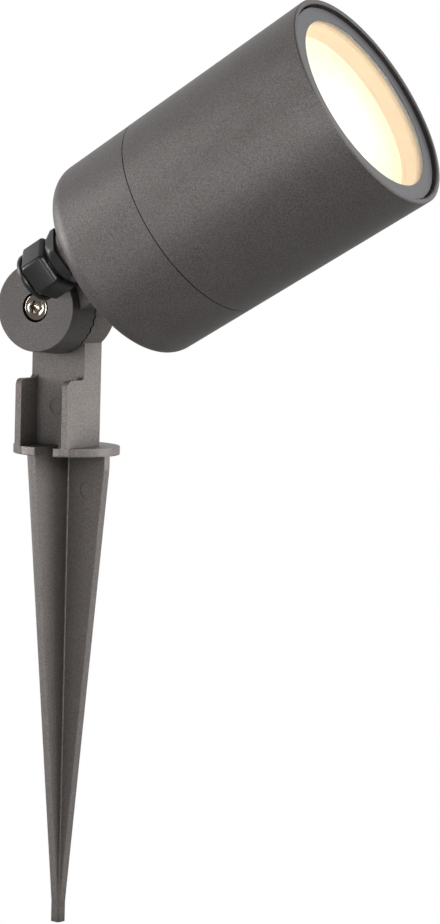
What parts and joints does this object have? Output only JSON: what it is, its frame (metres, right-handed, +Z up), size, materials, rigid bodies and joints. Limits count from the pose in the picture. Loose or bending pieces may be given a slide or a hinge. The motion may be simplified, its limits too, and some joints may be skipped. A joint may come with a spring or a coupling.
{
  "type": "garden spike spotlight",
  "caption": "Cylindrical powder-coated garden spotlight with a recessed glass front, on a serrated tilt knuckle and a cross-bladed ground spike with a cable channel.",
  "frame": {"origin": "centre of the collar's underside, which is at ground level when the spike is pushed in", "axes": "+Z up along the spike, -Y the side with the cable channel and gland, the head tilts about Y and points towards +X and up at rest"},
  "size_m": [0.1442, 0.0708, 0.2981],
  "materials": {
    "coated_casting": "matte",
    "stainless": "satin",
    "zinc_steel": "satin",
    "brass_fittings": "satin",
    "black_nylon": "satin",
    "white_plastic": "satin",
    "black_rubber": "matte",
    "white_silicone": "matte",
    "clear_glass": "gloss",
    "grey_enamel": "satin",
    "frosted_lens": "satin",
    "steatite": "matte",
    "lead_insulation": "matte",
    "earth_insulation": "matte"
  },
  "bodies": {
    "spike": {"spike": "coated_casting", "clamp_nut": "stainless"},
    "head": {"knuckle_arm": "coated_casting", "arm_seal": "black_rubber", "arm_screws": "zinc_steel", "rear_housing": "coated_casting", "housing_o_ring": "black_rubber", "lamp_body": "white_plastic", "lamp_lens": "frosted_lens", "lamp_pins": "brass_fittings", "lampholder": "steatite", "holder_bridge": "zinc_steel", "bridge_screws": "zinc_steel", "terminal_block": "white_plastic", "terminal_screws": "zinc_steel", "lamp_leads": "lead_insulation", "earth_lead": "earth_insulation", "earth_screw": "brass_fittings", "gland_body": "black_nylon", "gland_washer": "black_rubber", "gland_seal": "black_rubber"},
    "barrel": {"front_barrel": "coated_casting", "glass_seal": "white_silicone", "front_glass": "clear_glass", "glass_border": "grey_enamel", "centring_sleeve": "white_plastic"},
    "clamp_screw": {"clamp_screw": "stainless", "spring_washer": "stainless"},
    "gland_nut": {"gland_nut": "black_nylon"}
  },
  "joints": [
    {"name": "head_tilt", "type": "hinge", "parent": "spike", "child": "head", "pos_m": [0, 0, 0.0475], "axis": [0, -1, 0], "range_deg": [-50, 170]},
    {"name": "barrel_unscrew", "type": "hinge", "parent": "head", "child": "barrel", "pos_m": [0.07694, -0.0082, 0.0942], "axis": [0.8572, 0, 0.515], "range_deg": [0, 360]},
    {"name": "clamp_screw_turn", "type": "hinge", "parent": "spike", "child": "clamp_screw", "pos_m": [0, -0.012, 0.0475], "axis": [0, -1, 0], "range_deg": [0, 360]},
    {"name": "gland_nut_turn", "type": "hinge", "parent": "head", "child": "gland_nut", "pos_m": [0.01013, -0.02995, 0.05977], "axis": [-0.8572, 0, -0.515], "range_deg": [0, 360]}
  ]
}
